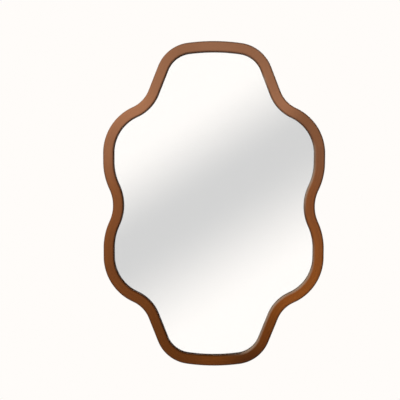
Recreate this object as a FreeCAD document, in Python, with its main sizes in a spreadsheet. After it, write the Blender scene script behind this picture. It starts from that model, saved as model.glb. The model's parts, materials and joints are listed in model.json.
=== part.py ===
"""Wall mirror with a wavy wooden frame, 900 mm tall, hung by two rings on its back.

Millimetres. +X is to the right of someone facing the mirror, +Z is up, and the wall
is the plane y = 0, so the mirror looks towards -Y. The origin is the middle of the
outline, in the wall's plane, where the four bumpers touch it.

The outline is one closed run of arcs and straights, alike in all four quarters. Going
clockwise from the top it holds a shallow crown, a round corner, a straight shoulder,
a hollow valley, a bulging lobe and a shallow waist. Every wavy piece is that outline
moved inwards by its own inset: round arcs lose the inset, hollow arcs gain it.
"""
import FreeCAD, Part
import math
import os

import Sketcher
from FreeCAD import Placement, Rotation, Vector

SIZES = {
    # the outline
    "overall_height": 900.0,
    "overall_width": 611.0,
    "crown_radius": 536.0,
    "corner_radius": 101.5,
    "corner_across": 60.0,        # middle line to the corner arc's centre
    "shoulder_straight": 70.5,
    "valley_radius": 84.5,
    "lobe_radius": 139.0,
    "lobe_up": 143.5,             # middle to the top of the lobe's flat
    "lobe_flat": 24.0,
    "waist_depth": 26.5,          # how far the waist draws in from the lobes
    "waist_radius": 105.0,
    # the rail's section
    "rail_width": 30.0,
    "lip_depth": 10.0,            # wood in front of the glass
    "rabbet_width": 10.0,
    "edge_round": 7.0,
    "back_round": 1.0,
    "shoulder_joint_drop": 101.0, # top of the frame to the upper glue joints
    "lobe_joint_up": 165.0,       # middle to the lower glue joints
    # the stack in the rabbet, front to back
    "glass_thick": 5.0,
    "silver_thick": 0.3,
    "foam_thick": 1.5,
    "board_thick": 5.0,
    "board_recess": 0.2,
    "glass_play": 1.5,            # edge of the glass to the rabbet's wall
    "pad_length": 20.0,
    "pad_across": 60.0,
    "pad_ease": 0.1,
    # dowels in the glue joints
    "dowel_radius": 3.0,
    "dowel_length": 24.0,
    "dowel_edge": 5.5,            # face of the rail to a dowel's axis
    "bore_ease": 0.05,
    # turn buttons that hold the backboard
    "button_inset": 12.0,
    "button_width": 10.0,
    "button_reach": 21.0,
    "button_thick": 1.0,
    "button_gap": 0.1,
    "button_screw_radius": 1.5,
    "button_screw_head": 3.2,
    "button_screw_rise": 1.8,
    "button_screw_grip": 11.0,
    # ring hangers
    "hanger_inset": 13.5,
    "hanger_up": 140.0,           # middle to the ring's axis
    "strap_width": 12.0,
    "strap_length": 15.0,
    "strap_thick": 1.2,
    "ring_wire": 1.25,
    "ring_ease": 0.05,
    "ring_half": 10.75,           # middle of the ring to its wire's centre line
    "ring_reach": 23.25,          # axis to the bow, on the wire's centre line
    "ring_bend": 3.0,
    "hanger_screw_back": 8.5,     # axis to the strap's screw
    "hanger_screw_radius": 1.75,
    "hanger_screw_head": 3.4,
    "hanger_screw_rise": 2.0,
    "hanger_screw_grip": 14.0,
    # shared by both kinds of screw
    "screw_tip": 3.0,
    "recess_arm": 0.45,
    "recess_reach": 1.7,
    "recess_depth": 0.8,
    # bumpers that meet the wall
    "bumper_radius": 6.0,
    "bumper_height": 6.0,
    "bumper_round": 0.8,
    "bumper_inset": 10.0,
    "bumper_angle": 40.0,         # degrees round the corner arc from straight up
}

FRONT = -1.0      # the way the mirror faces, along Y
RIGHT, LEFT = 1, -1
UPPER, LOWER = 1, -1
SIDES = (("left", LEFT), ("right", RIGHT))
LEVELS = (("upper", UPPER), ("lower", LOWER))
START, END, CENTRE = range(1, 4)      # the points of a sketch's arc or line
ORIGIN, X_AXIS, Y_AXIS = (-1, 1), -1, -2
CROWN, CORNER, VALLEY, LOBE, FOOT, WAIST = range(6)     # the circles of a quarter, in order
SPARE = 20.0      # how far the boxes that divide the frame stand clear of it
SAME = 1e-3       # lengths that differ by less than this are alike

RABBET = (
    "(Sheet.glass_thick + Sheet.silver_thick + Sheet.foam_thick"
    " + Sheet.board_thick + Sheet.board_recess)"
)
FRAME_DEPTH = "(Sheet.lip_depth + " + RABBET + ")"
RABBET_INSET = "(Sheet.rail_width - Sheet.rabbet_width)"
STACK_INSET = "(Sheet.rail_width - Sheet.rabbet_width + Sheet.glass_play)"

doc = FreeCAD.newDocument("wavy_mirror")
sheet = doc.addObject("Spreadsheet::Sheet", "Sheet")


def fill_sheet():
    """One row per driving size: its name, then its value under that alias."""
    for row, (name, value) in enumerate(SIZES.items(), start=1):
        sheet.set("A%d" % row, name)
        sheet.set("B%d" % row, str(value))
        sheet.setAlias("B%d" % row, name)
    doc.recompute()


def size(name):
    return float(getattr(sheet, name))


def worth(expression):
    """The number that an expression of the sheet's sizes comes to."""
    return float(sheet.evalExpression(expression.replace("Sheet.", "")))


# ---------------------------------------------------------------- the outline's arithmetic

def quarter_circles():
    """Circles of the upper right quarter, crown to waist: (x, z, radius, turn).

    turn is 1 where the outline bulges and -1 where it is hollow.
    """
    half_width = size("overall_width") / 2
    crown = (0.0, size("overall_height") / 2 - size("crown_radius"), size("crown_radius"), 1)
    reach = size("crown_radius") - size("corner_radius")
    across = size("corner_across")
    corner = (across, crown[1] + math.sqrt(reach ** 2 - across ** 2), size("corner_radius"), 1)
    lobe = (half_width - size("lobe_radius"), size("lobe_up"), size("lobe_radius"), 1)

    # the valley's centre is a known way from the corner's centre and from the lobe's
    from_corner = math.hypot(size("shoulder_straight"), size("corner_radius") + size("valley_radius"))
    from_lobe = size("lobe_radius") + size("valley_radius")
    dx, dz = lobe[0] - corner[0], lobe[1] - corner[1]
    apart = math.hypot(dx, dz)
    along = (from_corner ** 2 - from_lobe ** 2 + apart ** 2) / (2 * apart)
    aside = math.sqrt(from_corner ** 2 - along ** 2)
    valley = (
        corner[0] + (along * dx - aside * dz) / apart,
        corner[1] + (along * dz + aside * dx) / apart,
        size("valley_radius"),
        -1,
    )

    # the foot of the lobe meets the waist arc, so their radii add up to this
    flat_end = size("lobe_up") - size("lobe_flat")
    depth = size("waist_depth")
    both = (flat_end ** 2 + depth ** 2) / (2 * depth)
    foot_radius = both - size("waist_radius")
    foot = (half_width - foot_radius, flat_end, foot_radius, 1)
    waist = (half_width - depth + size("waist_radius"), 0.0, size("waist_radius"), -1)
    return [crown, corner, valley, lobe, foot, waist]


def headings(circles):
    """The outline's heading where it leaves each circle for the next, in radians."""
    found = []
    for (ax, az, ar, at), (bx, bz, br, bt) in zip(circles, circles[1:]):
        apart = math.hypot(bx - ax, bz - az)
        lean = max(-1.0, min(1.0, (at * ar - bt * br) / apart))
        found.append(math.atan2(bz - az, bx - ax) - math.asin(lean))
    return found


def on_circle(circle, heading, inset):
    """The point of a circle, moved in by the inset, where the outline has this heading."""
    x, z, radius, turn = circle
    arm = turn * radius - inset
    return (x - arm * math.sin(heading), z + arm * math.cos(heading))


def rail_x(height, inset):
    """How far across the right-hand rail lies at a height above the middle."""
    circles = quarter_circles()
    turns = headings(circles)
    for index, circle in enumerate(circles):
        x, z, radius, turn = circle
        first = on_circle(circle, turns[index - 1] if index else 0.0, inset)
        last = on_circle(circle, turns[index] if index < len(turns) else -math.pi / 2, inset)
        if last[1] <= height <= first[1]:
            arm = radius - turn * inset
            return x + turn * math.sqrt(arm ** 2 - (height - z) ** 2)
        if index < len(turns):
            after = on_circle(circles[index + 1], turns[index], inset)
            if after[1] <= height <= last[1]:
                share = (last[1] - height) / (last[1] - after[1])
                return last[0] + share * (after[0] - last[0])
    raise ValueError("no rail at height %.1f" % height)


# ---------------------------------------------------------------- small makers

def bind(thing, **expressions):
    """Tie properties to the sheet; a double underscore stands for a dot."""
    for name, expression in expressions.items():
        thing.setExpression(name.replace("__", "."), expression)


def new_body(name):
    body = doc.addObject("PartDesign::Body", name)
    body.Label = name
    return body


def new_sketch(body, name, plane, lift="0"):
    """An empty sketch on one of the body's own planes, lifted along its normal."""
    sketch = body.newObject("Sketcher::SketchObject", name)
    support = [item for item in body.Origin.OriginFeatures if item.Role == plane][0]
    sketch.AttachmentSupport = [(support, "")]
    sketch.MapMode = "FlatFace"
    sketch.setExpression("AttachmentOffset.Base.z", lift)
    return sketch


def pad(body, name, sketch, length):
    feature = body.newObject("PartDesign::Pad", name)
    feature.Profile = sketch
    feature.setExpression("Length", length)
    return feature


def pocket(body, name, sketch, length):
    """A cut that runs against the sketch's normal unless it is reversed afterwards."""
    feature = body.newObject("PartDesign::Pocket", name)
    feature.Profile = sketch
    feature.setExpression("Length", length)
    return feature


class Ties:
    """A sketch's constraints, gathered and then added in one go."""

    def __init__(self, sketch):
        self.sketch = sketch
        self.gathered = []

    def add(self, kind, *places):
        """A constraint without a value."""
        self.gathered.append((Sketcher.Constraint(kind, *places), None))

    def hold(self, expression, kind, *places):
        """A constraint whose value is an expression of the sheet's sizes."""
        self.gathered.append((Sketcher.Constraint(kind, *places, worth(expression)), expression))

    def hold_at(self, expression, kind, place, side):
        """Hold a point at a distance from the sketch's origin, on the side that is named."""
        ends = ORIGIN + place if side > 0 else place + ORIGIN
        self.hold(expression, kind, *ends)

    def join(self, loop, kind):
        """Join each piece of a closed loop of (index, ends) to the next."""
        for here, there in zip(loop, loop[1:] + loop[:1]):
            self.add(kind, here[0], here[1][1], there[0], there[1][0])

    def tie(self):
        """Add what was gathered to the sketch and bind the values to the sheet."""
        first = self.sketch.ConstraintCount
        self.sketch.addConstraint([constraint for constraint, expression in self.gathered])
        for index, (constraint, expression) in enumerate(self.gathered, start=first):
            if expression is not None:
                self.sketch.setExpression("Constraints[%d]" % index, expression)
        self.gathered = []


def arc(centre, radius, first, last, turn):
    """An arc travelled from first to last, clockwise where it bulges.

    Returns the arc and which of its own ends the travel starts and stops at.
    """
    begin, stop = (last, first) if turn > 0 else (first, last)
    angles = [math.atan2(point[1] - centre[1], point[0] - centre[0]) for point in (begin, stop)]
    if angles[1] < angles[0]:
        angles[1] += 2 * math.pi
    circle = Part.Circle(Vector(centre[0], centre[1], 0), Vector(0, 0, 1), radius)
    ends = (END, START) if turn > 0 else (START, END)
    return Part.ArcOfCircle(circle, angles[0], angles[1]), ends


def line(first, last):
    return Part.LineSegment(Vector(first[0], first[1], 0), Vector(last[0], last[1], 0)), (START, END)


# ---------------------------------------------------------------- the wavy outline as a sketch

def quarter_run(inset, across, up):
    """Arcs and straights between crown and waist: (role, geometry, ends), crown first.

    across and up are 1 or -1 and put the run in its own quarter of the mirror. The
    travel is clockwise where their product is 1, and the other way where it is -1.
    """
    circles = quarter_circles()
    turns = headings(circles)
    bends = {"corner": CORNER, "valley": VALLEY, "lobe": LOBE, "foot": FOOT}
    straights = {"shoulder": CORNER, "flat": LOBE}
    run = []
    for role in ("corner", "shoulder", "valley", "lobe", "flat", "foot"):
        if role in bends:
            index = bends[role]
            first = on_circle(circles[index], turns[index - 1], inset)
            last = on_circle(circles[index], turns[index], inset)
        else:
            index = straights[role]
            first = on_circle(circles[index], turns[index], inset)
            last = on_circle(circles[index + 1], turns[index], inset)
        first = (across * first[0], up * first[1])
        last = (across * last[0], up * last[1])
        if role in bends:
            x, z, radius, turn = circles[index]
            centre = (across * x, up * z)
            geometry, ends = arc(centre, radius - turn * inset, first, last, turn * across * up)
        else:
            geometry, ends = line(first, last)
        run.append((role, geometry, ends))
    return run


def cap_arc(inset, which, side):
    """The arc shared by two quarters: the crown or base, or a waist, travelled clockwise."""
    circles = quarter_circles()
    turns = headings(circles)
    index = CROWN if which == "crown" else WAIST
    x, z, radius, turn = circles[index]
    far = on_circle(circles[index], turns[0] if which == "crown" else turns[-1], inset)
    if which == "crown":
        first, last = (-side * far[0], side * far[1]), (side * far[0], side * far[1])
        centre = (x, side * z)
    else:
        first, last = (side * far[0], side * far[1]), (side * far[0], -side * far[1])
        centre = (side * x, z)
    return arc(centre, radius - turn * inset, first, last, turn)


def wavy_sketch(body, name, inset, lift):
    """The outline, moved in by an inset, as a fully tied sketch on the XZ plane."""
    sketch = new_sketch(body, name, "XZ_Plane", lift)
    amount = worth(inset)
    loop = []

    def add(role, across, up, geometry, ends):
        loop.append((role, across, up, sketch.addGeometry(geometry, False), ends))

    for up, waist_side in ((UPPER, RIGHT), (LOWER, LEFT)):
        add("crown", 0, up, *cap_arc(amount, "crown", up))
        across = up
        for role, geometry, ends in quarter_run(amount, across, up):
            add(role, across, up, geometry, ends)
        add("waist", waist_side, 0, *cap_arc(amount, "waist", waist_side))
        for role, geometry, ends in reversed(quarter_run(amount, across, -up)):
            add(role, across, -up, geometry, (ends[1], ends[0]))

    ties = Ties(sketch)
    ties.join([(item, ends) for role, across, up, item, ends in loop], "Tangent")
    for role, across, up, item, ends in loop:
        high_end = ends[0] if across * up > 0 else ends[1]
        if role == "crown":
            ties.add("PointOnObject", item, CENTRE, Y_AXIS)
            ties.hold("Sheet.crown_radius - " + inset, "Radius", item)
            ties.hold_at("Sheet.overall_height / 2 - Sheet.crown_radius", "DistanceY", (item, CENTRE), up)
        elif role == "corner":
            ties.hold("Sheet.corner_radius - " + inset, "Radius", item)
            ties.hold_at("Sheet.corner_across", "DistanceX", (item, CENTRE), across)
        elif role == "shoulder":
            ties.hold("Sheet.shoulder_straight", "Distance", item)
        elif role == "valley":
            ties.hold("Sheet.valley_radius + " + inset, "Radius", item)
        elif role == "lobe":
            ties.hold("Sheet.lobe_radius - " + inset, "Radius", item)
        elif role == "flat":
            ties.add("Vertical", item)
            ties.hold("Sheet.lobe_flat", "Distance", item)
            ties.hold_at("Sheet.overall_width / 2 - " + inset, "DistanceX", (item, high_end), across)
            ties.hold_at("Sheet.lobe_up", "DistanceY", (item, high_end), up)
        elif role == "waist":
            ties.add("PointOnObject", item, CENTRE, X_AXIS)
            ties.hold("Sheet.waist_radius + " + inset, "Radius", item)
            ties.hold_at("Sheet.overall_width / 2 - Sheet.waist_depth + Sheet.waist_radius",
                         "DistanceX", (item, CENTRE), across)
    ties.tie()
    return sketch


# ---------------------------------------------------------------- plain sketches

def polygon(sketch, corners):
    """A closed run of straight lines; each line that is level or upright is kept so."""
    ties = Ties(sketch)
    loop = []
    for first, last in zip(corners, corners[1:] + corners[:1]):
        geometry, ends = line(first, last)
        item = sketch.addGeometry(geometry, False)
        loop.append((item, ends))
        if first[1] == last[1]:
            ties.add("Horizontal", item)
        elif first[0] == last[0]:
            ties.add("Vertical", item)
    ties.join(loop, "Coincident")
    return [item for item, ends in loop], ties


def circle(sketch, ties, radius, across=None, up=None):
    """A circle on the sketch's origin, or off it along either axis by an expression."""
    centre = Vector(worth(across) if across else 0.0, worth(up) if up else 0.0, 0)
    item = sketch.addGeometry(Part.Circle(centre, Vector(0, 0, 1), worth(radius)), False)
    ties.hold(radius, "Radius", item)
    if across is None and up is None:
        ties.add("Coincident", item, CENTRE, *ORIGIN)
        return
    for kind, axis, place in (("DistanceX", Y_AXIS, across), ("DistanceY", X_AXIS, up)):
        if place is None:
            ties.add("PointOnObject", item, CENTRE, axis)
        else:
            ties.hold(place, kind, *ORIGIN, item, CENTRE)


def round_sketch(body, name, plane, lift, radius, across=None):
    """A sketch that holds one circle."""
    sketch = new_sketch(body, name, plane, lift)
    ties = Ties(sketch)
    circle(sketch, ties, radius, across)
    ties.tie()
    return sketch


def edges_along(shape, outline, level):
    """Names of the edges of a shape that follow an outline sketch at one depth y."""
    shadow = outline.Shape.copy()
    shadow.translate(Vector(0, level - shadow.BoundBox.YMin, 0))
    names = []
    for number, edge in enumerate(shape.Edges, start=1):
        middle = edge.valueAt((edge.FirstParameter + edge.LastParameter) / 2)
        if abs(middle.y - level) < SAME and shadow.distToShape(Part.Vertex(middle))[0] < SAME:
            names.append("Edge%d" % number)
    return names


def fillet(body, name, base, edges, radius):
    feature = body.newObject("PartDesign::Fillet", name)
    feature.Base = (base, edges)
    feature.setExpression("Radius", radius)
    return feature


# ---------------------------------------------------------------- places round the frame

def back_face():
    return -size("bumper_height")


def front_face():
    return back_face() - worth(FRAME_DEPTH)


def station(index, heading, across, up, inset):
    """A point of the rail on one of its circles, and the unit way in to the glass."""
    x, z = on_circle(quarter_circles()[index], heading, inset)
    return (across * x, up * z), (across * math.sin(heading), -up * math.cos(heading))


def facing(inward):
    """The turn about Y that brings a piece's own -Z round to the way in."""
    return Rotation(Vector(0, 1, 0), math.degrees(math.atan2(-inward[0], -inward[1])))


def button_stations():
    """Where each turn button pivots: name, point and way in, clockwise from the top."""
    inset = size("button_inset")
    turns = headings(quarter_circles())
    in_valley = (turns[CORNER] + turns[VALLEY]) / 2
    level = -math.pi / 2
    return [
        ("top", station(CROWN, 0.0, RIGHT, UPPER, inset)),
        ("upper_right", station(VALLEY, in_valley, RIGHT, UPPER, inset)),
        ("right", station(WAIST, level, RIGHT, UPPER, inset)),
        ("lower_right", station(VALLEY, in_valley, RIGHT, LOWER, inset)),
        ("bottom", station(CROWN, 0.0, RIGHT, LOWER, inset)),
        ("lower_left", station(VALLEY, in_valley, LEFT, LOWER, inset)),
        ("left", station(WAIST, level, LEFT, UPPER, inset)),
        ("upper_left", station(VALLEY, in_valley, LEFT, UPPER, inset)),
    ]


def hanger_place(across):
    """The middle of a ring hanger's hinge line, on the wood."""
    return Vector(across * (size("overall_width") / 2 - size("hanger_inset")),
                  back_face(), size("hanger_up"))


def hanger_screw_place(across):
    """Where the strap's screw enters the wood."""
    return hanger_place(across) - Vector(0, 0, size("hanger_screw_back"))


def dowel_places():
    """The middle of each dowel: two in every glue joint, one behind the other."""
    inset = worth(RABBET_INSET) / 2
    depths = (back_face() - size("dowel_edge"), front_face() + size("dowel_edge"))
    heights = (size("overall_height") / 2 - size("shoulder_joint_drop"), size("lobe_joint_up"))
    return [
        Vector(across * rail_x(height, inset), depth, up * height)
        for height in heights
        for side, across in SIDES
        for level, up in LEVELS
        for depth in depths
    ]


# ---------------------------------------------------------------- the wooden frame

def make_ring():
    """The whole frame before it is divided: blank, sight opening, rabbet, eased edges."""
    body = new_body("ring")
    outline = wavy_sketch(body, "outer_outline", "0", "Sheet.bumper_height")
    blank = pad(body, "blank", outline, FRAME_DEPTH)
    # these two start on the back face and cut towards the front, along their normal
    sight = wavy_sketch(body, "sight_outline", "Sheet.rail_width", "Sheet.bumper_height")
    opening = pocket(body, "sight_opening", sight, FRAME_DEPTH)
    opening.Reversed = True
    step = wavy_sketch(body, "rabbet_outline", RABBET_INSET, "Sheet.bumper_height")
    rabbet = pocket(body, "rabbet", step, RABBET)
    rabbet.Reversed = True
    doc.recompute()
    fronts = []
    for edge_line in (outline, sight):
        fronts += edges_along(rabbet.Shape, edge_line, front_face())
    rounded = fillet(body, "rounded_front", rabbet, fronts, "Sheet.edge_round")
    doc.recompute()
    backs = edges_along(rounded.Shape, outline, back_face())
    fillet(body, "eased_back", rounded, backs, "Sheet.back_round")
    doc.recompute()
    return body


def bore(name, radius, depth, place, way):
    """A round hole to be cut: it starts at its place and runs along its way."""
    tool = doc.addObject("Part::Cylinder", name)
    bind(tool, Radius=radius, Height=depth)
    tool.Placement = Placement(place, Rotation(Vector(0, 0, 1), way))
    return tool


def make_bores():
    """Holes for the dowels, the turn buttons' screws and the hangers' screws."""
    tools = []
    inwards = Vector(0, FRONT, 0)
    half = Vector(0, 0, size("dowel_length") / 2 + size("bore_ease"))
    for number, place in enumerate(dowel_places(), start=1):
        tools.append(bore("dowel_hole_%d" % number, "Sheet.dowel_radius + Sheet.bore_ease",
                          "Sheet.dowel_length + 2 * Sheet.bore_ease", place - half, Vector(0, 0, 1)))
    for name, (point, inward) in button_stations():
        tools.append(bore("button_hole_" + name, "Sheet.button_screw_radius + Sheet.bore_ease",
                          "Sheet.button_screw_grip + Sheet.bore_ease",
                          Vector(point[0], back_face(), point[1]), inwards))
    for side, across in SIDES:
        tools.append(bore("hanger_hole_" + side, "Sheet.hanger_screw_radius + Sheet.bore_ease",
                          "Sheet.hanger_screw_grip + Sheet.bore_ease",
                          hanger_screw_place(across), inwards))
    return compound("bores", tools)


def compound(name, members):
    """Separate solids kept together under one name."""
    group = doc.addObject("Part::Compound", name)
    group.Links = members
    group.Label = name
    return group


def board(name, left, width, low, height, drilled):
    """One piece of the frame: the part of the drilled ring that lies in a box."""
    zone = doc.addObject("Part::Box", name + "_zone")
    bind(zone, Length=width, Height=height, Width=FRAME_DEPTH + " + 2 * %g" % SPARE)
    bind(zone, Placement__Base__x=left, Placement__Base__z=low,
         Placement__Base__y="-Sheet.bumper_height - " + FRAME_DEPTH + " - %g" % SPARE)
    piece = doc.addObject("Part::Common", name)
    piece.Base = drilled
    piece.Tool = zone
    piece.Label = name
    return piece


def make_frame():
    """Eight pieces, glued end to end at level joints in the shoulders and the lobes."""
    drilled = doc.addObject("Part::Cut", "drilled_ring")
    drilled.Base = make_ring()
    drilled.Tool = make_bores()
    edge = "(Sheet.overall_width / 2 + %g)" % SPARE
    upper_joint = "(Sheet.overall_height / 2 - Sheet.shoulder_joint_drop)"
    cap = "(Sheet.shoulder_joint_drop + %g)" % SPARE
    tall = upper_joint + " - Sheet.lobe_joint_up"
    pieces = [
        board("frame_top", "-" + edge, "2 * " + edge, upper_joint, cap, drilled),
        board("frame_bottom", "-" + edge, "2 * " + edge, "-" + upper_joint + " - " + cap, cap, drilled),
    ]
    for side, across in SIDES:
        left = "0" if across > 0 else "-" + edge
        pieces += [
            board("frame_upper_" + side, left, edge, "Sheet.lobe_joint_up", tall, drilled),
            board("frame_side_" + side, left, edge, "-Sheet.lobe_joint_up",
                  "2 * Sheet.lobe_joint_up", drilled),
            board("frame_lower_" + side, left, edge, "-" + upper_joint, tall, drilled),
        ]
    return pieces


def make_dowels():
    """The pegs of the glue joints, upright, as one group."""
    pegs = []
    half = Vector(0, 0, size("dowel_length") / 2)
    for number, place in enumerate(dowel_places(), start=1):
        pegs.append(bore("dowel_%d" % number, "Sheet.dowel_radius", "Sheet.dowel_length",
                         place - half, Vector(0, 0, 1)))
    return compound("joint_dowels", pegs)


# ---------------------------------------------------------------- what lies in the rabbet

def wavy_sheet(name, lift, thickness):
    """A flat sheet cut to the outline of the rabbet, with play all round."""
    body = new_body(name)
    pad(body, name + "_blank", wavy_sketch(body, name + "_outline", STACK_INSET, lift), thickness)
    return body


def make_stack():
    """Backboard, foam, silvering and glass, from the back to the front."""
    sheets = []
    lift = "Sheet.bumper_height + Sheet.board_recess"
    for name, thickness in (
        ("backboard", "Sheet.board_thick"),
        ("backing_foam", "Sheet.foam_thick"),
        ("mirror_silvering", "Sheet.silver_thick"),
        ("mirror_glass", "Sheet.glass_thick"),
    ):
        sheets.append(wavy_sheet(name, lift, thickness))
        lift += " + " + thickness
    return sheets


def make_glass_pads():
    """Two pads on the bottom rail's rabbet that carry the edge of the glass."""
    inset = worth(RABBET_INSET) + size("pad_ease")
    radius = size("crown_radius") - inset
    front = front_face() + size("lip_depth")
    blocks = []
    for side, across in SIDES:
        heading = -math.asin(size("pad_across") / radius)
        point, inward = station(CROWN, heading, across, LOWER, inset)
        block = doc.addObject("Part::Box", "glass_pad_" + side)
        bind(block, Length="Sheet.pad_length", Width="Sheet.glass_thick",
             Height="Sheet.glass_play - 2 * Sheet.pad_ease")
        turn = facing((-inward[0], -inward[1]))
        start = turn.multVec(Vector(-size("pad_length") / 2, 0, 0))
        block.Placement = Placement(Vector(point[0], front, point[1]) + start, turn)
        blocks.append(block)
    return compound("glass_pads", blocks)


# ---------------------------------------------------------------- metal fittings

def tab(body, name, width, reach, thickness, hole, hole_down):
    """A flat strip on the wood that reaches along -Z to a round end.

    Its hole is on its origin, and the near end is round about it, or the hole is down
    the strip by hole_down and the near end is square.
    """
    sketch = new_sketch(body, name + "_plan", "XZ_Plane")
    round_near = hole_down is None
    half = worth(width) / 2
    foot = -(worth(reach) - half)
    right, ends_right = line((half, 0), (half, foot))
    far, ends_far = arc((0, foot), half, (half, foot), (-half, foot), 1)
    left, ends_left = line((-half, foot), (-half, 0))
    if round_near:
        near, ends_near = arc((0, 0), half, (-half, 0), (half, 0), 1)
    else:
        near, ends_near = line((-half, 0), (half, 0))
    loop = [
        (sketch.addGeometry(right, False), ends_right),
        (sketch.addGeometry(far, False), ends_far),
        (sketch.addGeometry(left, False), ends_left),
        (sketch.addGeometry(near, False), ends_near),
    ]
    ties = Ties(sketch)
    for number, (here, there) in enumerate(zip(loop, loop[1:] + loop[:1])):
        kind = "Tangent" if number < 2 or round_near else "Coincident"
        ties.add(kind, here[0], here[1][1], there[0], there[1][0])
    ties.add("Vertical", loop[0][0])
    ties.hold(width + " / 2", "Radius", loop[1][0])
    ties.add("PointOnObject", loop[1][0], CENTRE, Y_AXIS)
    ties.hold("%s - %s / 2" % (reach, width), "DistanceY", loop[1][0], CENTRE, *ORIGIN)
    if round_near:
        ties.add("Coincident", loop[3][0], CENTRE, *ORIGIN)
    else:
        ties.add("Vertical", loop[2][0])
        ties.add("Horizontal", loop[3][0])
        ties.add("PointOnObject", loop[3][0], START, X_AXIS)
    circle(sketch, ties, hole, None, None if round_near else "-" + hole_down)
    ties.tie()
    plate = pad(body, name + "_plate", sketch, thickness)
    plate.Reversed = True
    return plate


def make_turn_buttons():
    """Steel tabs, one body each, that swivel on their screws over the backboard's edge."""
    buttons = []
    level = back_face() + size("button_gap")
    for name, (point, inward) in button_stations():
        body = new_body("turn_button_" + name)
        tab(body, "button_" + name, "Sheet.button_width", "Sheet.button_reach", "Sheet.button_thick",
            "Sheet.button_screw_radius + Sheet.bore_ease", None)
        body.Placement = Placement(Vector(point[0], level, point[1]), facing(inward))
        buttons.append(body)
    return buttons


def make_screw(name, shank, head, rise, length):
    """A pan head wood screw: the head stands out along +Y, the shank runs along -Y."""
    body = new_body(name)
    sketch = new_sketch(body, name + "_profile", "XY_Plane")
    top, side, neck = worth(rise), worth(head), worth(shank)
    end, taper = -worth(length), size("screw_tip")
    corners = [(0, top), (side, top), (side, 0), (neck, 0), (neck, end + taper), (0, end)]
    lines, ties = polygon(sketch, corners)
    ties.add("PointOnObject", lines[0], START, Y_AXIS)
    ties.add("PointOnObject", lines[2], START, X_AXIS)
    ties.hold(rise, "Distance", lines[1])
    ties.hold(head, "Distance", lines[0])
    ties.hold(shank, "DistanceX", *ORIGIN, lines[3], START)
    ties.hold(length, "DistanceY", lines[4], END, *ORIGIN)
    ties.hold("Sheet.screw_tip", "DistanceY", lines[4], END, lines[4], START)
    ties.tie()
    turned = body.newObject("PartDesign::Revolution", name + "_turned")
    turned.Profile = sketch
    turned.ReferenceAxis = (sketch, ["V_Axis"])
    turned.Angle = 360
    doc.recompute()
    rim = [
        "Edge%d" % number
        for number, edge in enumerate(turned.Shape.Edges, start=1)
        if abs(edge.BoundBox.YMin - top) < SAME and edge.BoundBox.YLength < SAME
    ]
    domed = fillet(body, name + "_domed", turned, rim, rise + " / 2")
    doc.recompute()
    cross = new_sketch(body, name + "_cross", "XZ_Plane", "-" + rise)
    near, far = "Sheet.recess_arm", "Sheet.recess_reach"
    # the corners of a plus sign, clockwise from its upper arm: (across, side, up, side)
    plus = [
        (near, 1, far, 1), (near, 1, near, 1), (far, 1, near, 1),
        (far, 1, near, -1), (near, 1, near, -1), (near, 1, far, -1),
        (near, -1, far, -1), (near, -1, near, -1), (far, -1, near, -1),
        (far, -1, near, 1), (near, -1, near, 1), (near, -1, far, 1),
    ]
    lines, ties = polygon(cross, [(side * worth(x), level * worth(z)) for x, side, z, level in plus])
    for item, (x, side, z, level), after in zip(lines, plus, plus[1:] + plus[:1]):
        if (x, side) == after[:2]:
            ties.hold_at(x, "DistanceX", (item, START), side)
        else:
            ties.hold_at(z, "DistanceY", (item, START), level)
    ties.tie()
    slot = pocket(body, name + "_recess", cross, "Sheet.recess_depth")
    slot.Reversed = True
    doc.recompute()
    print("%s recess takes %.2f mm3" % (name, domed.Shape.Volume - slot.Shape.Volume))
    return body


def copies(pattern, name, places):
    """One screw at each place, as a group of separate solids."""
    links = []
    for number, place in enumerate(places, start=1):
        link = doc.addObject("App::Link", "%s_%d" % (name, number))
        link.LinkedObject = pattern
        link.LinkTransform = False
        link.Placement = Placement(place, Rotation())
        links.append(link)
    return compound(name, links)


def make_screws():
    """The turn buttons' pivot screws and the hangers' screws."""
    button = make_screw(
        "button_screw", "Sheet.button_screw_radius", "Sheet.button_screw_head", "Sheet.button_screw_rise",
        "Sheet.button_screw_grip + Sheet.button_thick + 2 * Sheet.button_gap")
    hanger = make_screw(
        "hanger_screw", "Sheet.hanger_screw_radius", "Sheet.hanger_screw_head", "Sheet.hanger_screw_rise",
        "Sheet.hanger_screw_grip + Sheet.strap_thick")
    under_head = back_face() + 2 * size("button_gap") + size("button_thick")
    button_places = [Vector(point[0], under_head, point[1]) for name, (point, inward) in button_stations()]
    hanger_places = [
        hanger_screw_place(across) + Vector(0, size("strap_thick"), 0) for side, across in SIDES
    ]
    return [
        copies(button, "button_screws", button_places),
        copies(hanger, "hanger_screws", hanger_places),
    ]


BORE_RADIUS = "(Sheet.ring_wire + Sheet.ring_ease)"
BARREL_RADIUS = "(Sheet.ring_wire + Sheet.ring_ease + Sheet.strap_thick)"


def make_strap(side, across):
    """A strap screwed to the wood, rolled at its upper end into the ring's hinge barrel."""
    name = "hanger_strap_" + side
    body = new_body(name)
    tab(body, name, "Sheet.strap_width", "Sheet.strap_length", "Sheet.strap_thick",
        "Sheet.hanger_screw_radius + Sheet.bore_ease", "Sheet.hanger_screw_back")
    edge = "-Sheet.strap_width / 2"
    barrel = round_sketch(body, name + "_barrel", "YZ_Plane", edge, BARREL_RADIUS, BARREL_RADIUS)
    pad(body, name + "_roll", barrel, "Sheet.strap_width")
    hinge = round_sketch(body, name + "_hinge", "YZ_Plane", edge, BORE_RADIUS, BARREL_RADIUS)
    eye = pocket(body, name + "_eye", hinge, "Sheet.strap_width")
    eye.Reversed = True
    body.Placement = Placement(hanger_place(across), Rotation())
    return body


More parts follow.
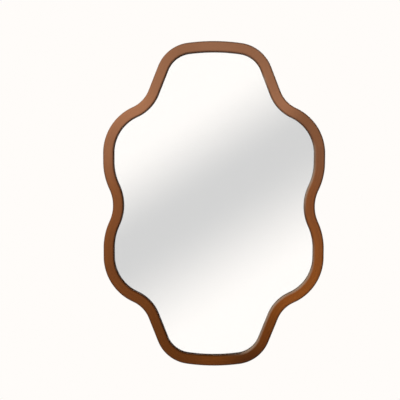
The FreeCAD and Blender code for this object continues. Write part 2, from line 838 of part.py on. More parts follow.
def make_ring_loop(side, across):
    """A D-shaped wire ring: its straight side lies in the barrel, its bow hangs down."""
    name = "hanger_ring_" + side
    body = new_body(name)
    half, bend, reach = size("ring_half"), size("ring_bend"), size("ring_reach")
    path = new_sketch(body, name + "_path", "XZ_Plane", "-" + BARREL_RADIUS)
    straight, legs = half - bend, half - reach
    shapes = [
        line((0, 0), (straight, 0)),
        arc((straight, -bend), bend, (straight, 0), (half, -bend), 1),
        line((half, -bend), (half, legs)),
        arc((0, legs), half, (half, legs), (-half, legs), 1),
        line((-half, legs), (-half, -bend)),
        arc((-straight, -bend), bend, (-half, -bend), (-straight, 0), 1),
        line((-straight, 0), (0, 0)),
    ]
    loop = [(path.addGeometry(geometry, False), ends) for geometry, ends in shapes]
    ties = Ties(path)
    for number, (here, there) in enumerate(zip(loop, loop[1:] + loop[:1])):
        kind = "Tangent" if number < len(loop) - 1 else "Coincident"
        ties.add(kind, here[0], here[1][1], there[0], there[1][0])
    ties.add("Coincident", loop[0][0], START, *ORIGIN)
    for level, upright in ((0, 2), (6, 4)):
        ties.add("Horizontal", loop[level][0])
        ties.add("Vertical", loop[upright][0])
    for number in (1, 5):
        ties.hold("Sheet.ring_bend", "Radius", loop[number][0])
    ties.hold("Sheet.ring_half", "Radius", loop[3][0])
    ties.add("PointOnObject", loop[3][0], CENTRE, Y_AXIS)
    ties.hold("Sheet.ring_reach - Sheet.ring_half", "DistanceY", loop[3][0], CENTRE, *ORIGIN)
    ties.tie()
    wire = round_sketch(body, name + "_wire", "YZ_Plane", "0", "Sheet.ring_wire", BARREL_RADIUS)
    pipe = body.newObject("PartDesign::AdditivePipe", name + "_bent")
    pipe.Profile = wire
    pipe.Spine = path
    doc.recompute()
    length = path.Shape.Length * math.pi * size("ring_wire") ** 2
    print("%s volume %.2f, wire times section %.2f" % (name, pipe.Shape.Volume, length))
    body.Placement = Placement(hanger_place(across), Rotation())
    return body


def make_bumper(level, up, side, across):
    """A round rubber foot on the back of a corner; its far face meets the wall."""
    name = "wall_bumper_%s_%s" % (level, side)
    body = new_body(name)
    plan = round_sketch(body, name + "_plan", "XZ_Plane", "0", "Sheet.bumper_radius")
    puck = pad(body, name + "_puck", plan, "Sheet.bumper_height")
    puck.Reversed = True
    doc.recompute()
    rim = edges_along(puck.Shape, plan, size("bumper_height"))
    fillet(body, name + "_soft_rim", puck, rim, "Sheet.bumper_round")
    heading = -math.radians(size("bumper_angle"))
    point, inward = station(CORNER, heading, across, up, size("bumper_inset"))
    body.Placement = Placement(Vector(point[0], back_face(), point[1]), Rotation())
    return body


# ---------------------------------------------------------------- the whole part

def build():
    """Every piece of the mirror, from the frame inwards and then the fittings."""
    fill_sheet()
    nodes = make_frame()
    nodes.append(make_dowels())
    nodes += make_stack()
    nodes.append(make_glass_pads())
    nodes += make_turn_buttons()
    nodes += make_screws()
    for side, across in SIDES:
        nodes.append(make_strap(side, across))
        nodes.append(make_ring_loop(side, across))
    for level, up in LEVELS:
        for side, across in SIDES:
            nodes.append(make_bumper(level, up, side, across))
    doc.recompute()
    return nodes


def check(nodes):
    """Stop on anything that failed to compute, or on a piece that isn't sound."""
    for thing in doc.Objects:
        if "Invalid" in thing.State or "Error" in thing.State:
            raise RuntimeError("%s failed: %s" % (thing.Name, thing.State))
        if thing.isDerivedFrom("Sketcher::SketchObject") and not thing.FullyConstrained:
            raise RuntimeError("%s is not fully tied" % thing.Name)
    for node in nodes:
        if node.Shape.isNull() or not node.Shape.isValid() or not node.Shape.Solids:
            raise RuntimeError("%s has no sound shape" % node.Label)


def export(nodes):
    """One STEP file for each piece, named after it, and a line on its size."""
    os.makedirs("parts", exist_ok=True)
    for node in nodes:
        node.Shape.exportStep(os.path.join("parts", node.Label + ".step"))
        box = node.Shape.BoundBox
        print("%-26s %2d solid  %9.0f mm3  x %7.1f..%6.1f  y %6.2f..%6.2f  z %7.1f..%6.1f" % (
            node.Label, len(node.Shape.Solids), node.Shape.Volume,
            box.XMin, box.XMax, box.YMin, box.YMax, box.ZMin, box.ZMax))


pieces = build()
check(pieces)
export(pieces)
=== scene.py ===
"""Looks of the wavy wall mirror: rail, mirror, back fittings, camera, light and floor.

Metres. +X is to the viewer's right, +Z is up, and the mirror faces -Y. The wall's plane
is y = 0 and the middle of the outline is the origin.
"""
import json
import math

import bmesh
import bpy
from mathutils import Matrix, Quaternion, Vector

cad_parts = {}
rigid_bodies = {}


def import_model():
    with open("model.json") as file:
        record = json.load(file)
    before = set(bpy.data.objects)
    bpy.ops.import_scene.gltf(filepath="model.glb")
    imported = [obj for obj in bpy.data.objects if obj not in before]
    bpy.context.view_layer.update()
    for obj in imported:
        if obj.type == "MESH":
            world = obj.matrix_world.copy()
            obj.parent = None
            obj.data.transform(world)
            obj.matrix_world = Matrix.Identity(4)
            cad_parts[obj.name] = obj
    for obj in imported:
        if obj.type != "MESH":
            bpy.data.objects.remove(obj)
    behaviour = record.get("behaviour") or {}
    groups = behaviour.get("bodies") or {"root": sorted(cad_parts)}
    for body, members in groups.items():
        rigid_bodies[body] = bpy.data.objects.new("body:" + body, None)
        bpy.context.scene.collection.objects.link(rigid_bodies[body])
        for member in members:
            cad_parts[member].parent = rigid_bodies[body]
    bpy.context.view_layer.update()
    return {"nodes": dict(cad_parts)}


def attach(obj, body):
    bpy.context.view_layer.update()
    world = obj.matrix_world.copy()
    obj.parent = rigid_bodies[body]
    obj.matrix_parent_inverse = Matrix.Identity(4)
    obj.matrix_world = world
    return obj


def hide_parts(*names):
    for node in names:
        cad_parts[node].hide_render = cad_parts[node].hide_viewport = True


for old in list(bpy.data.objects):
    bpy.data.objects.remove(old)

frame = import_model()

# ---------------------------------------------------------------- sizes, in metres

HALF_HEIGHT = 0.450
HALF_WIDTH = 0.3055
CROWN_RADIUS = 0.536
CORNER_RADIUS = 0.1015
CORNER_ACROSS = 0.060                   # x of the corner arc's centre
SHOULDER = 0.0705                       # length of the straight from corner to valley
VALLEY_RADIUS = 0.0845
LOBE_RADIUS = 0.139
LOBE_UP = 0.1435                        # z of the lobe arc's centre
LOBE_FLAT = 0.024                       # length of the upright straight under the lobe arc
WAIST_DEPTH = 0.0265                    # how far the waist lies in from the widest place
WAIST_RADIUS = 0.105
SHOULDER_JOINT = HALF_HEIGHT - 0.101    # height of the upper glue joints
LOBE_JOINT = 0.165                      # height of the glue joints in the lobes

RAIL_WIDTH = 0.030
RABBET_INSET = 0.020                    # outline to the rabbet's wall
STACK_INSET = 0.0215                    # outline to the edge of the glass and the board
BACK = -0.006                           # y of the rail's back face
FRONT = -0.028                          # y of the rail's front face
LIP_BACK = -0.018                       # y of the lip's back, where the glass lies
GLASS_BACK = -0.013
SILVER_BACK = -0.0127
FOAM_BACK = -0.0112
BOARD_BACK = -0.0062
COAT_GAP = 0.00005                      # glass to the silver coat
EDGE_ROUND = 0.007                      # radius of the two front edges
BACK_ROUND = 0.001                      # radius of the outer back edge
ARRIS = 0.0003                          # the small bevel left on sawn corners
GLASS_ARRIS = 0.0006
SILVER_ARRIS = 0.00005
BOARD_ARRIS = 0.0004

BACK_STEPS, FRONT_STEPS, FACE_STEPS = 4, 14, 4      # how finely the rail's section is divided
SAME_POINT = 1e-7                       # stations nearer than this are one
CREASE = math.radians(28)               # edges that turn by more than this stay crisp

GRAIN_INSET = RAIL_WIDTH / 2            # the grain's length is measured along this line
GRAIN_SHIFT = 3.7                       # each board comes from this much further along the wood
LAMP_SIDE = (-0.8, 0.6)                     # the key lamp's side, as x and z, which the painted edge shade and highlight follow


# ---------------------------------------------------------------- the outline

def quarter_circles():
    """Circles of the upper right quarter, crown to waist: (x, z, radius, turn).

    turn is 1 where the outline bulges and -1 where it is hollow.
    """
    crown = (0.0, HALF_HEIGHT - CROWN_RADIUS, CROWN_RADIUS, 1)
    reach = CROWN_RADIUS - CORNER_RADIUS
    corner_up = crown[1] + math.sqrt(reach ** 2 - CORNER_ACROSS ** 2)
    corner = (CORNER_ACROSS, corner_up, CORNER_RADIUS, 1)
    lobe = (HALF_WIDTH - LOBE_RADIUS, LOBE_UP, LOBE_RADIUS, 1)
    from_corner = math.hypot(SHOULDER, CORNER_RADIUS + VALLEY_RADIUS)
    from_lobe = LOBE_RADIUS + VALLEY_RADIUS
    dx, dz = lobe[0] - corner[0], lobe[1] - corner[1]
    apart = math.hypot(dx, dz)
    along = (from_corner ** 2 - from_lobe ** 2 + apart ** 2) / (2 * apart)
    aside = math.sqrt(from_corner ** 2 - along ** 2)
    valley = (
        corner[0] + (along * dx - aside * dz) / apart,
        corner[1] + (along * dz + aside * dx) / apart,
        VALLEY_RADIUS,
        -1,
    )
    flat_end = LOBE_UP - LOBE_FLAT
    foot_radius = (flat_end ** 2 + WAIST_DEPTH ** 2) / (2 * WAIST_DEPTH) - WAIST_RADIUS
    foot = (HALF_WIDTH - foot_radius, flat_end, foot_radius, 1)
    waist = (HALF_WIDTH - WAIST_DEPTH + WAIST_RADIUS, 0.0, WAIST_RADIUS, -1)
    return [crown, corner, valley, lobe, foot, waist]


def leaving_headings():
    """The outline's heading where it leaves each circle, and straight down at the waist."""
    found = []
    for (ax, az, ar, at), (bx, bz, br, bt) in zip(CIRCLES, CIRCLES[1:]):
        lean = max(-1.0, min(1.0, (at * ar - bt * br) / math.hypot(bx - ax, bz - az)))
        found.append(math.atan2(bz - az, bx - ax) - math.asin(lean))
    return found + [-math.pi / 2]


CIRCLES = quarter_circles()
HEADINGS = leaving_headings()
CROWN, CORNER, VALLEY, LOBE, FOOT, WAIST = range(6)
# elements of a quarter, crown to waist: (circle, None) for an arc, (circle, next) for a straight
ELEMENTS = [(CROWN, None), (CORNER, None), (CORNER, VALLEY), (VALLEY, None), (LOBE, None),
            (LOBE, FOOT), (FOOT, None), (WAIST, None)]
SHOULDER_RUN, LOBE_RUN, LAST_RUN = 2, 4, 7      # the two elements with a joint, and the last
STEPS = [14, 26, 12, 20, 36, 6, 14, 12]         # how finely each is divided: a joint halves it


def on_circle(index, heading, inset):
    """The point at an inset where the outline runs along a circle with a heading."""
    x, z, radius, turn = CIRCLES[index]
    arm = turn * radius - inset
    return x - arm * math.sin(heading), z + arm * math.cos(heading)


def on_quarter(element, share, inset):
    """A point of the upper right quarter, a share of the way along one of its elements."""
    circle, after = ELEMENTS[element]
    if after is not None:
        x0, z0 = on_circle(circle, HEADINGS[circle], inset)
        x1, z1 = on_circle(after, HEADINGS[circle], inset)
        return x0 + share * (x1 - x0), z0 + share * (z1 - z0)
    before = HEADINGS[circle - 1] if circle else 0.0
    return on_circle(circle, before + share * (HEADINGS[circle] - before), inset)


def joint_share(element, inset):
    """How far along its element the outline at an inset meets its glue joint."""
    if element == SHOULDER_RUN:
        high, low = on_quarter(element, 0.0, inset)[1], on_quarter(element, 1.0, inset)[1]
        return (high - SHOULDER_JOINT) / (high - low)
    arm = LOBE_RADIUS - inset
    heading = -math.acos((LOBE_JOINT - LOBE_UP) / arm)
    before = HEADINGS[VALLEY]
    return (heading - before) / (HEADINGS[LOBE] - before)


def stations(first, last):
    """Stations along a board: (element, share, does a joint start it, does a joint end it).

    first and last are (element, is it a joint). The share is measured within the part of
    the element that the board has, so that it suits every inset.
    """
    found = []
    for element in range(first[0], last[0] + 1):
        cut_start = first[1] and element == first[0]
        cut_end = last[1] and element == last[0]
        count = STEPS[element] // (2 if cut_start or cut_end else 1)
        for step in range(count + 1):
            if step == 0 and found:
                continue
            found.append((element, step / count, cut_start, cut_end))
    return found


def place(station, inset):
    """The point of a station at an inset, in the upper right quarter."""
    element, share, cut_start, cut_end = station
    low = joint_share(element, inset) if cut_start else 0.0
    high = joint_share(element, inset) if cut_end else 1.0
    return on_quarter(element, low + share * (high - low), inset)


def outline_loop(inset):
    """The whole outline at an inset, clockwise from the top, as (x, z)."""
    quarter = []
    for element, steps in enumerate(STEPS):
        for step in range(0 if element == 0 else 1, steps + 1):
            quarter.append(on_quarter(element, step / steps, inset))
    right_low = [(x, -z) for x, z in reversed(quarter[:-1])]
    left_low = [(-x, -z) for x, z in quarter[1:]]
    left_high = [(-x, z) for x, z in reversed(quarter[1:-1])]
    return quarter + right_low + left_low + left_high


# ---------------------------------------------------------------- mesh makers

def arc_points(centre, radius, start, stop, steps):
    """Points of a profile's arc, as (inset, y), from one angle to another in degrees."""
    angles = [math.radians(start + (stop - start) * n / steps) for n in range(steps + 1)]
    return [(centre[0] + radius * math.cos(angle), centre[1] + radius * math.sin(angle))
            for angle in angles]


def rail_profile():
    """The rail's section, a loop of (inset, y) from the outer back corner round the front."""
    inner = RAIL_WIDTH - EDGE_ROUND
    run = arc_points((BACK_ROUND, BACK - BACK_ROUND), BACK_ROUND, 90, 180, BACK_STEPS)
    run += arc_points((EDGE_ROUND, FRONT + EDGE_ROUND), EDGE_ROUND, 180, 270, FRONT_STEPS)
    run += [(EDGE_ROUND + (inner - EDGE_ROUND) * n / FACE_STEPS, FRONT)
            for n in range(1, FACE_STEPS)]
    run += arc_points((inner, FRONT + EDGE_ROUND), EDGE_ROUND, 270, 360, FRONT_STEPS)
    run += [(RAIL_WIDTH, LIP_BACK - ARRIS), (RAIL_WIDTH - ARRIS, LIP_BACK)]
    run += [(RABBET_INSET, LIP_BACK), (RABBET_INSET, BACK - ARRIS), (RABBET_INSET - ARRIS, BACK)]
    return run


def skin(name, loops):
    """A mesh through a row of loops that have as many points each, closed at both ends."""
    count = len(loops[0])
    faces = []
    for level in range(len(loops) - 1):
        a, b = level * count, (level + 1) * count
        faces += [(a + n, a + (n + 1) % count, b + (n + 1) % count, b + n) for n in range(count)]
    faces.append(tuple(range(count)))
    faces.append(tuple(reversed(range((len(loops) - 1) * count, len(loops) * count))))
    mesh = bpy.data.meshes.new(name)
    mesh.from_pydata([point for loop in loops for point in loop], [], faces)
    return mesh


def smooth(mesh):
    """Smooth faces, with the edges kept crisp that turn by more than the crease angle."""
    work = bmesh.new()
    work.from_mesh(mesh)
    bmesh.ops.recalc_face_normals(work, faces=work.faces)
    for face in work.faces:
        face.smooth = True
    for edge in work.edges:
        edge.smooth = edge.calc_face_angle() < CREASE
    work.to_mesh(mesh)
    work.free()
    mesh.update()


def between(values, share):
    """The pair a share of the way along a list of pairs, eased from one to the next."""
    at = share * (len(values) - 1)
    low = min(int(at), len(values) - 2)
    ease = (at - low) ** 2 * (3 - 2 * (at - low))
    return [a + ease * (b - a) for a, b in zip(values[low], values[low + 1])]


def rail_mesh(name, runs, offset, shades):
    """One board of the rail, swept along its runs: (stations, across, up), end to end.

    Each vertex also says where it lies in the wood (along, across and through the board),
    how light its tone is and how far painted sheen greys it, from shades along the board, and
    how far the rail's outer side faces the key lamp's side, for the painted edge shade and
    highlight.
    """
    profile = rail_profile()
    loops, grain, facing = [], [], []
    travelled = offset
    previous = None
    for run, across, up in runs:
        for station in run:
            x, z = place(station, GRAIN_INSET)
            middle = (across * x, up * z)
            if previous is not None:
                step = math.hypot(middle[0] - previous[0], middle[1] - previous[1])
                if step < SAME_POINT:
                    continue
                travelled += step
            previous = middle
            outer, inner = place(station, 0.0), place(station, RAIL_WIDTH)
            # how far the outer side faces the key lamp's side, for the painted edge shade and
            # highlight
            toward = across * (outer[0] - inner[0]) * LAMP_SIDE[0]
            toward += up * (outer[1] - inner[1]) * LAMP_SIDE[1]
            loop = []
            for inset, y in profile:
                x, z = place(station, inset)
                loop.append((across * x, y, up * z))
                grain.append((travelled, inset, y))
                facing.append(toward / RAIL_WIDTH)
            loops.append(loop)
    mesh = skin(name, loops)
    first, last = grain[0][0], grain[-1][0]
    tone_and_painted_light = [(*between(shades, (spot[0] - first) / (last - first)), face)
             for spot, face in zip(grain, facing)]
    for label, vectors in (("grain", grain), ("tone_and_painted_light", tone_and_painted_light)):
        attribute = mesh.attributes.new(label, "FLOAT_VECTOR", "POINT")
        attribute.data.foreach_set("vector", [value for vector in vectors for value in vector])
    smooth(mesh)
    return mesh


def sheet_mesh(name, back, front, arris):
    """A flat sheet cut to the outline, its corners taken off by an arris."""
    levels = [(STACK_INSET + arris, back), (STACK_INSET, back - arris),
              (STACK_INSET, front + arris), (STACK_INSET + arris, front)]
    mesh = skin(name, [[(x, y, z) for x, z in outline_loop(inset)] for inset, y in levels])
    smooth(mesh)
    return mesh


def new_piece(name, mesh, body, material, stands_for):
    piece = bpy.data.objects.new(name, mesh)
    bpy.context.scene.collection.objects.link(piece)
    mesh.materials.append(material)
    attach(piece, body)
    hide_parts(*stands_for)


# ---------------------------------------------------------------- materials

class Nodes:
    """The node tree of a material or a world, and short ways to add to it."""

    def __init__(self, owner):
        owner.use_nodes = True
        self.owner = owner
        self.tree = owner.node_tree
        self.shader = self.tree.nodes.get("Principled BSDF")

    def add(self, kind, **values):
        """A node; values name its sockets, with _ for spaces, or its own properties."""
        node = self.tree.nodes.new(kind)
        for name, value in values.items():
            socket = node.inputs.get(name.replace("_", " "))
            if socket is not None:
                self.put(socket, value)
            else:
                setattr(node, name, value)
        return node

    def put(self, socket, value):
        if isinstance(value, bpy.types.NodeSocket):
            self.tree.links.new(value, socket)
        else:
            socket.default_value = value

    def set(self, **values):
        for name, value in values.items():
            self.put(self.shader.inputs[name.replace("_", " ")], value)

    def end(self, shader):
        """The material shows what this shader gives."""
        self.put(self.tree.nodes["Material Output"].inputs["Surface"], shader.outputs[0])

    def attribute(self, name):
        return self.add("ShaderNodeAttribute", attribute_name=name).outputs["Vector"]

    def position(self):
        return self.add("ShaderNodeTexCoord").outputs["Object"]

    def split(self, vector):
        return list(self.add("ShaderNodeSeparateXYZ", Vector=vector).outputs)

    def scaled(self, vector, *scale):
        """A vector times one number, or times one for each axis; more gives a finer pattern."""
        scale = scale if len(scale) == 3 else scale * 3
        return self.add("ShaderNodeMapping", Vector=vector, Scale=scale).outputs["Vector"]

    def noise(self, vector, scale=1.0, detail=3.0, roughness=0.5, distortion=0.0):
        node = self.add("ShaderNodeTexNoise", Vector=vector, Scale=scale, Detail=detail,
                        Roughness=roughness, Distortion=distortion)
        return node.outputs["Fac"]

    def spread(self, value, low, high, to_low=0.0, to_high=1.0, shape="SMOOTHSTEP"):
        """A value between two levels, spread over a range."""
        node = self.add("ShaderNodeMapRange", interpolation_type=shape)
        for index, number in enumerate((value, low, high, to_low, to_high)):
            self.put(node.inputs[index], number)
        return node.outputs["Result"]

    def maths(self, operation, a, b):
        node = self.add("ShaderNodeMath", operation=operation)
        self.put(node.inputs[0], a)
        self.put(node.inputs[1], b)
        return node.outputs["Value"]

    def mix(self, share, a, b):
        node = self.add("ShaderNodeMix", data_type="RGBA")
        for index, value in ((0, share), (6, a), (7, b)):       # the sockets that colours use
            self.put(node.inputs[index], value)
        return node.outputs[2]

    def lay(self, tone, colour, share, strength):
        """A tone with a colour laid over it, where share is high and as a strength allows."""
        return self.mix(self.maths("MULTIPLY", share, strength), tone, colour)

    def mix_shaders(self, share, a, b):
        node = self.add("ShaderNodeMixShader")
        for index, value in enumerate((share, a.outputs[0], b.outputs[0])):
            self.put(node.inputs[index], value)
        return node

    def bump(self, height, distance, strength):
        node = self.add("ShaderNodeBump", Strength=strength, Distance=distance, Height=height)
        return node.outputs["Normal"]


def material(name):
    return Nodes(bpy.data.materials.new(name))


def linear(red, green, blue):
    """A colour given as 0 to 255 in the display's scale, as the shader wants it."""
    def one(value):
        value /= 255
        return value / 12.92 if value <= 0.04045 else ((value + 0.055) / 1.055) ** 2.4
    return (one(red), one(green), one(blue), 1.0)


# where the painted edge shade and highlight change round the rail's section: from and to, as
# insets
OUTER_EDGE = (-0.001, 0.006)
INNER_EDGE = (0.0240, 0.0300)
HIGHLIGHT_EDGE = (0.0235, 0.0300)
OUTER_SIDE = (-0.0225, -0.0165)         # as y: from the front edge back to the side


def walnut_with_painted_light():
    """Stained wood with streaks, fibres and pores along the grain and uneven staining, with
    painted sheen, painted shade on the rounded edges and a painted highlight on the inner edges
    that face the key lamp.
    """
    n = material("walnut_with_painted_light")
    grain = n.attribute("grain")
    drift = n.noise(n.scaled(grain, 2.2, 9, 9), detail=2)
    bands = n.noise(n.scaled(grain, 5.0, 190, 120), detail=3, distortion=0.6)
    fibres = n.noise(n.scaled(grain, 34.0, 1300, 1300), detail=2)
    pores = n.spread(n.noise(n.scaled(grain, 130.0, 3600, 3600), detail=1), 0.60, 0.72)
    # the tone's lightness, the share of painted sheen, and how far the outer side faces the key
    # lamp
    light, painted_sheen, facing = n.split(n.attribute("tone_and_painted_light"))
    _, inset, depth = n.split(grain)

    tone = n.mix(n.spread(drift, 0.3, 0.7), linear(102, 51, 12), linear(110, 59, 18))
    tone = n.lay(tone, linear(126, 71, 23), n.spread(bands, 0.32, 0.68), 0.44)
    tone = n.lay(tone, linear(86, 39, 14), n.spread(fibres, 0.35, 0.75), 0.34)
    tone = n.lay(tone, linear(58, 24, 9), pores, 0.35)
    # painted sheen: the tone greyed towards a pale tan, most at the top and none at the bottom
    tone = n.mix(painted_sheen, tone, linear(125, 93, 73))

    # painted shade on the rounded edges: the outer edge is darkened where it faces away from the
    # key lamp and kept near its tone where it faces it; the inner edge is darkened all round, most
    # where it faces away from the lamp; the outer side keeps most of its tone
    outer = n.spread(inset, *OUTER_EDGE, n.spread(facing, 0.55, 1.05, 0.28, 0.85), 1.0)
    inner = n.spread(inset, *INNER_EDGE, 1.0, n.spread(facing, 0.3, 1.0, 0.42, 0.2))
    side = n.spread(depth, *OUTER_SIDE, 0.0, 0.85)
    edges = n.maths("MULTIPLY", n.maths("MAXIMUM", outer, side), inner)
    tone = n.add("ShaderNodeVectorMath", operation="SCALE", Vector=tone,
                 Scale=n.maths("MULTIPLY", light, edges)).outputs["Vector"]

    # painted highlight: a pale tone on the inner edge where it faces the key lamp, on the rails
    # away from it
    painted_highlight = n.maths("MULTIPLY", n.spread(facing, -1.0, -0.6, 0.85, 0.0),
                     n.spread(inset, *HIGHLIGHT_EDGE))
    n.set(Base_Color=n.mix(painted_highlight, tone, linear(150, 126, 106)))
    n.set(Roughness=n.spread(fibres, 0.2, 0.8, 0.41, 0.48), Specular_IOR_Level=0.09)
    relief = n.maths("SUBTRACT", n.maths("MULTIPLY", fibres, 0.4), pores)
    n.set(Normal=n.bump(relief, 0.00003, 0.35))
    return n.owner


def clear_glass():
    n = material("clear_glass")
    cloud = n.noise(n.position(), 9, detail=3)
    n.set(Base_Color=(0.995, 0.995, 0.993, 1), Roughness=n.spread(cloud, 0.45, 0.85, 0.0, 0.004))
    n.set(IOR=1.52, Transmission_Weight=1.0)
    return n.owner


def silver_coat():
    n = material("silver_coat")
    cloud = n.noise(n.position(), 6, detail=2)
    n.set(Base_Color=n.mix(cloud, (0.985, 0.985, 0.985, 1), (0.975, 0.978, 0.98, 1)))
    n.set(Metallic=1.0, Roughness=0.0)
    return n.owner


def hardboard():
    """Pressed brown fibre: a clouded tone with dark flecks and pale strands."""
    n = material("hardboard")
    at = n.position()
    flecks = n.noise(n.scaled(at, 420), detail=5, roughness=0.7)
    strands = n.noise(n.scaled(at, 900, 400, 160), detail=3, distortion=1.5)
    cloud = n.noise(at, 7, detail=3)
    tone = n.mix(n.spread(cloud, 0.3, 0.7), linear(132, 95, 64), linear(146, 108, 74))
    tone = n.lay(tone, linear(98, 66, 42), n.spread(flecks, 0.45, 0.75), 0.5)
    tone = n.lay(tone, linear(176, 138, 100), n.spread(strands, 0.55, 0.8), 0.35)
    n.set(Base_Color=tone, Roughness=n.spread(cloud, 0.3, 0.7, 0.55, 0.7))
    n.set(Specular_IOR_Level=0.3, Normal=n.bump(flecks, 0.00006, 0.5))
    return n.owner


def dowel_beech():
    n = material("dowel_beech")
    fibres = n.noise(n.scaled(n.position(), 1500, 1500, 40), detail=3)
    tone = n.mix(n.spread(fibres, 0.3, 0.7), linear(196, 158, 112), linear(168, 126, 82))
    n.set(Base_Color=tone, Roughness=n.spread(fibres, 0.3, 0.7, 0.55, 0.7))
    n.set(Normal=n.bump(fibres, 0.00004, 0.5))
    return n.owner


def metal(name, bright, dull, smoothest, roughest, scale):
    """Plated or bare steel: clouded tone, fine drawn marks, rougher where it is duller."""
    n = material(name)
    at = n.position()
    cloud = n.noise(n.scaled(at, scale), detail=4, roughness=0.6)
    drawn = n.noise(n.scaled(at, 5200, 2600, 400), detail=2)
    n.set(Base_Color=n.mix(n.spread(cloud, 0.3, 0.7), bright, dull), Metallic=1.0)
    rough = n.maths("ADD", n.spread(cloud, 0.25, 0.75, smoothest, roughest),
                    n.maths("MULTIPLY", drawn, 0.08))
    n.set(Roughness=rough, Normal=n.bump(drawn, 0.00001, 0.5))
    return n.owner


def soft(name, dark, light, rough, scale, relief):
    """Rubber or foam: a mottled tone and a fine pebbled surface."""
    n = material(name)
    at = n.position()
    cloud = n.noise(n.scaled(at, scale * 0.2), detail=3)
    pebble = n.noise(n.scaled(at, scale), detail=3, roughness=0.65)
    mottle = n.maths("ADD", cloud, n.maths("MULTIPLY", pebble, 0.5))
    n.set(Base_Color=n.mix(n.spread(mottle, 0.5, 1.0), dark, light))
    n.set(Roughness=n.spread(pebble, 0.3, 0.7, rough - 0.08, rough + 0.08))
    n.set(Specular_IOR_Level=0.35, Normal=n.bump(pebble, relief, 0.7))
    return n.owner


WALNUT = walnut_with_painted_light()
GLASS = clear_glass()
SILVER = silver_coat()
HARDBOARD = hardboard()
BEECH = dowel_beech()
ZINC = metal("zinc_plate", linear(172, 174, 175), linear(140, 143, 146), 0.34, 0.50, 260)
STEEL = metal("screw_steel", linear(152, 151, 148), linear(118, 117, 114), 0.30, 0.44, 420)
RUBBER = soft("bumper_rubber", linear(34, 34, 35), linear(52, 52, 52), 0.62, 900, 0.00005)
PAD = soft("pad_rubber", linear(58, 58, 58), linear(74, 74, 72), 0.7, 800, 0.00005)
FOAM = soft("foam_sheet", linear(214, 214, 210), linear(236, 236, 233), 0.85, 700, 0.0002)

# ---------------------------------------------------------------- the rail's eight boards

# how light the wood's tone is along each board, and how far painted sheen greys it, most at the
# top and none at the bottom: left to right, or down the mirror
TONE_AND_SHEEN = {
    "top": [(1.03, 0.58), (0.91, 0.58), (1.0, 0.63), (0.99, 0.58), (1.13, 0.58)],
    "upper_left": [(1.03, 0.58), (1.31, 0.54), (1.07, 0.49)],
    "upper_right": [(1.13, 0.58), (1.32, 0.57), (0.88, 0.47), (0.97, 0.42)],
    "side_left": [(1.07, 0.49), (0.90, 0.19), (0.81, 0.12)],
    "side_right": [(0.97, 0.42), (1.11, 0.17), (1.35, 0.05)],
    "lower_left": [(0.81, 0.12), (0.77, 0.08), (0.66, 0.03)],
    "lower_right": [(1.35, 0.05), (1.40, 0.02), (0.90, 0.0)],
    "bottom": [(0.66, 0.03), (0.65, 0.0), (0.85, 0.0), (0.5, 0.0), (0.9, 0.0)],
}

JOINT, OPEN = True, False
cap_run = stations((0, OPEN), (SHOULDER_RUN, JOINT))
arm_run = stations((SHOULDER_RUN, JOINT), (LOBE_RUN, JOINT))
side_run = stations((LOBE_RUN, JOINT), (LAST_RUN, OPEN))

boards = []
for level, up in (("top", 1), ("bottom", -1)):
    boards.append((level, [(cap_run[::-1], -1, up), (cap_run, 1, up)]))
for side, across in (("left", -1), ("right", 1)):
    boards.append(("upper_" + side, [(arm_run, across, 1)]))
    boards.append(("side_" + side, [(side_run, across, 1), (side_run[::-1], across, -1)]))
    boards.append(("lower_" + side, [(arm_run, across, -1)]))
for number, (board, runs) in enumerate(boards):
    shades = TONE_AND_SHEEN[board]
    if board.startswith("lower"):
        shades = shades[::-1]           # these two are swept upwards
    mesh = rail_mesh("rail_" + board, runs, GRAIN_SHIFT * number, shades)
    new_piece("rail_" + board, mesh, "frame", WALNUT, ("frame_" + board,))

# ---------------------------------------------------------------- the stack in the rabbet

# a sheet's name, back, front, arris and material, the node that it stands for, and its slot
SHEETS = [
    ("glass_sheet", GLASS_BACK - COAT_GAP, LIP_BACK, GLASS_ARRIS, GLASS,
     "mirror_glass", "mirror_glass"),
    ("silver_sheet", SILVER_BACK, GLASS_BACK, SILVER_ARRIS, SILVER,
     "mirror_silvering", "silvering"),
    ("hardboard_back", BOARD_BACK, FOAM_BACK, BOARD_ARRIS, HARDBOARD,
     "backboard", "backboard_fibre"),
]
for name, back, front, arris, finish, node, slot in SHEETS:
    new_piece(name, sheet_mesh(name, back, front, arris), "frame", finish, (node,))

# ---------------------------------------------------------------- CAD pieces that stay

# how a node's name starts, and its material
FINISHES = [
    ("turn_button", ZINC), ("hanger_strap", ZINC), ("hanger_ring", ZINC),
    ("button_screws", STEEL), ("hanger_screws", STEEL), ("wall_bumper", RUBBER),
    ("glass_pads", PAD), ("backing_foam", FOAM), ("joint_dowels", BEECH),
]
for node, thing in frame["nodes"].items():
    for start, finish in FINISHES:
        if node.startswith(start):
            for slot in thing.material_slots:
                slot.link = "OBJECT"
                slot.material = finish

# ---------------------------------------------------------------- camera

DISTANCE = 2.5
ELEVATION = math.radians(4.78)
ROLL = 0.0052                           # the mirror hangs a hair clockwise of the camera's level
PIXELS = 400                            # across the frame
SCALE = 0.0027877                       # metres of the wall plane in a pixel
SHIFT = (-13.9, 5.09)                   # of the frame, in pixels
SENSOR = 36.0                           # millimetres
NEAR, FAR = 0.05, 100

